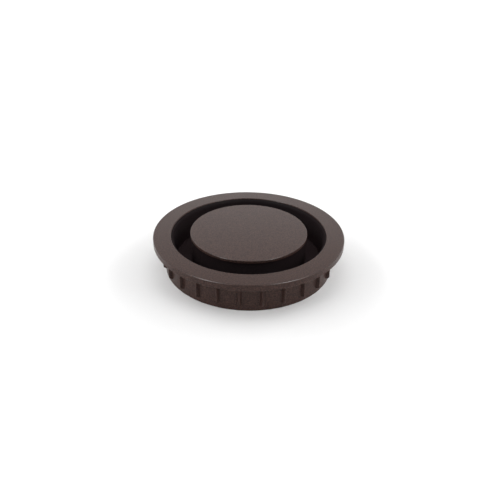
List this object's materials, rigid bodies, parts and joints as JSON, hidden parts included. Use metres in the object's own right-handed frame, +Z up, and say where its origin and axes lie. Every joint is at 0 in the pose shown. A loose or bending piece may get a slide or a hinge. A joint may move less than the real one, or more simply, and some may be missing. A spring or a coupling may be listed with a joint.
{
  "type": "desk grommet",
  "caption": "Round desk grommet: a flanged, ribbed sleeve for a cable hole, lined in black, with a raised centre cap on a lift-out carrier and a ring-shaped cable gap around it.",
  "frame": {"origin": "centre of the skirt's foot, the lowest plane of the grommet", "axes": "+Z up through the flange along the grommet's axis, -Y to the front, +X to the right"},
  "size_m": [0.066, 0.066, 0.0127],
  "materials": {
    "sleeve_plastic": "fine-grained matt brown moulding",
    "liner_plastic": "matt black moulding",
    "carrier_plastic": "matt black moulding",
    "cap_plastic": "fine-grained matt brown moulding"
  },
  "bodies": {
    "sleeve": {"outer_sleeve": "sleeve_plastic", "inner_liner": "liner_plastic"},
    "insert": {"cap_carrier": "carrier_plastic", "centre_cap": "cap_plastic"}
  },
  "joints": [
    {"name": "insert_lift", "type": "slide", "parent": "sleeve", "child": "insert", "axis": [0, 0, 1], "range_m": [0, 0.03]}
  ]
}
